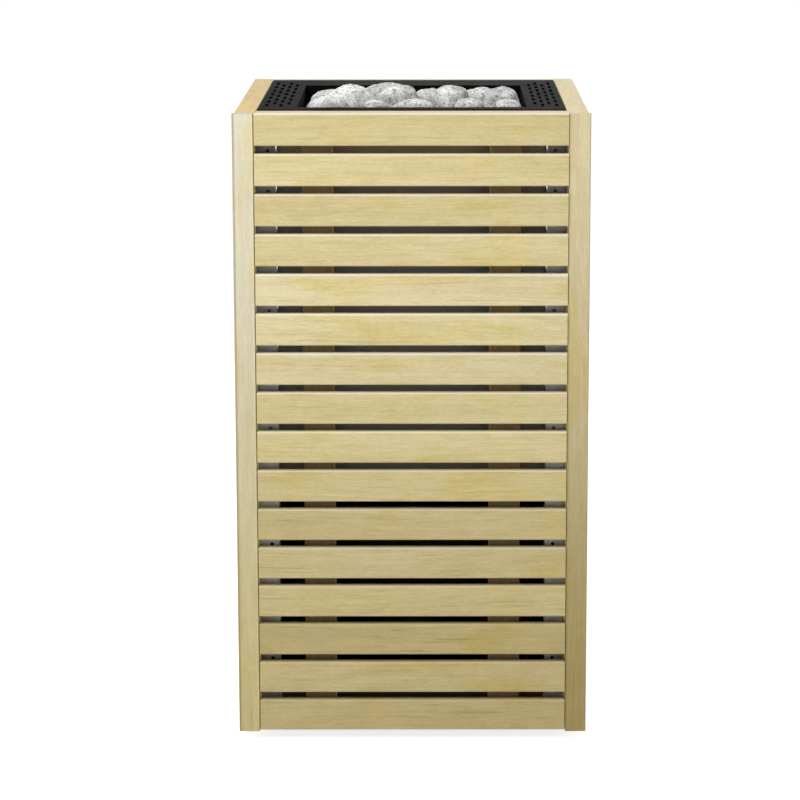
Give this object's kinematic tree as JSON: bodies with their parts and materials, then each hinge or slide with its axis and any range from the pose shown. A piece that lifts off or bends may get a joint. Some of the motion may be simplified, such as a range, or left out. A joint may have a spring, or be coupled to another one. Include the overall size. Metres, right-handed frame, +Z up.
{
  "type": "electric sauna heater",
  "caption": "Tower-shaped electric heater with pale wooden slat cladding, a black slotted top frame and an open pit of loose grey stones.",
  "frame": {"origin": "on the floor under the middle of the tower", "axes": "+Z up, front of the heater towards -Y, +X to the right seen from the front"},
  "size_m": [0.47, 0.505, 0.876],
  "materials": {
    "slat_wood": "planed, oiled aspen",
    "frame_wood": "planed, oiled aspen",
    "galvanised": "hot-dip galvanised",
    "dark_casing": "heat-resistant dark grey, matt",
    "black_frame": "black powder coat, matt",
    "element_tube": "stainless sheath, heat-toned",
    "stone": "rough, speckled grey",
    "fan_plastic": "matt black",
    "zinc_steel": "zinc plated",
    "box_plastic": "matt grey",
    "ceramic_block": "unglazed",
    "gland_plastic": "matt black"
  },
  "bodies": {
    "heater": {"base_tray": "galvanised", "cable_gland": "gland_plastic", "casing_front": "dark_casing", "casing_wrap": "dark_casing", "corner_stiles": "frame_wood", "corner_uprights": "galvanised", "cross_rail_front": "frame_wood", "cross_rail_rear": "frame_wood", "duct_wall_left": "dark_casing", "duct_wall_right": "dark_casing", "element_plate": "galvanised", "fan_frame_left": "fan_plastic", "fan_frame_right": "fan_plastic", "foot_nuts": "zinc_steel", "front_lath_left": "frame_wood", "front_lath_right": "frame_wood", "front_slat_01": "slat_wood", "front_slat_02": "slat_wood", "front_slat_03": "slat_wood", "front_slat_04": "slat_wood", "front_slat_05": "slat_wood", "front_slat_06": "slat_wood", "front_slat_07": "slat_wood", "front_slat_08": "slat_wood", "front_slat_09": "slat_wood", "front_slat_10": "slat_wood", "front_slat_11": "slat_wood", "front_slat_12": "slat_wood", "front_slat_13": "slat_wood", "front_slat_14": "slat_wood", "front_slat_15": "slat_wood", "front_slat_16": "slat_wood", "heating_element_left": "element_tube", "heating_element_middle": "element_tube", "heating_element_right": "element_tube", "pit_wall_front": "dark_casing", "pit_wall_rear": "dark_casing", "rear_slats": "slat_wood", "side_rail_left": "frame_wood", "side_rail_right": "frame_wood", "side_slats_left": "slat_wood", "side_slats_right": "slat_wood", "slat_battens": "frame_wood", "stone_crown": "stone", "stone_fill": "stone", "stone_grate": "galvanised", "terminal_block": "ceramic_block", "terminal_box": "box_plastic", "terminal_cover": "box_plastic"},
    "top_frame": {"frame_border_front": "black_frame", "frame_border_rear": "black_frame", "frame_grille_left": "black_frame", "frame_grille_right": "black_frame"},
    "fan_rotor_left_body": {"fan_rotor_left": "fan_plastic"},
    "fan_rotor_right_body": {"fan_rotor_right": "fan_plastic"},
    "foot_front_left_body": {"foot_front_left": "zinc_steel"},
    "foot_front_right_body": {"foot_front_right": "zinc_steel"},
    "foot_rear_left_body": {"foot_rear_left": "zinc_steel"},
    "foot_rear_right_body": {"foot_rear_right": "zinc_steel"}
  },
  "joints": [
    {"name": "top_frame_lift", "type": "slide", "parent": "heater", "child": "top_frame", "axis": [0, 0, 1], "range_m": [0, 0.12]},
    {"name": "fan_left_spin", "type": "hinge", "parent": "heater", "child": "fan_rotor_left_body", "pos_m": [-0.131, -0.0025, 0.15], "axis": [-1, 0, 0], "continuous": true},
    {"name": "fan_right_spin", "type": "hinge", "parent": "heater", "child": "fan_rotor_right_body", "pos_m": [0.131, -0.0025, 0.15], "axis": [1, 0, 0], "continuous": true},
    {"name": "foot_front_left_height", "type": "slide", "parent": "heater", "child": "foot_front_left_body", "axis": [0, 0, -1], "range_m": [0, 0.012]},
    {"name": "foot_front_right_height", "type": "slide", "parent": "heater", "child": "foot_front_right_body", "axis": [0, 0, -1], "range_m": [0, 0.012]},
    {"name": "foot_rear_left_height", "type": "slide", "parent": "heater", "child": "foot_rear_left_body", "axis": [0, 0, -1], "range_m": [0, 0.012]},
    {"name": "foot_rear_right_height", "type": "slide", "parent": "heater", "child": "foot_rear_right_body", "axis": [0, 0, -1], "range_m": [0, 0.012]}
  ]
}
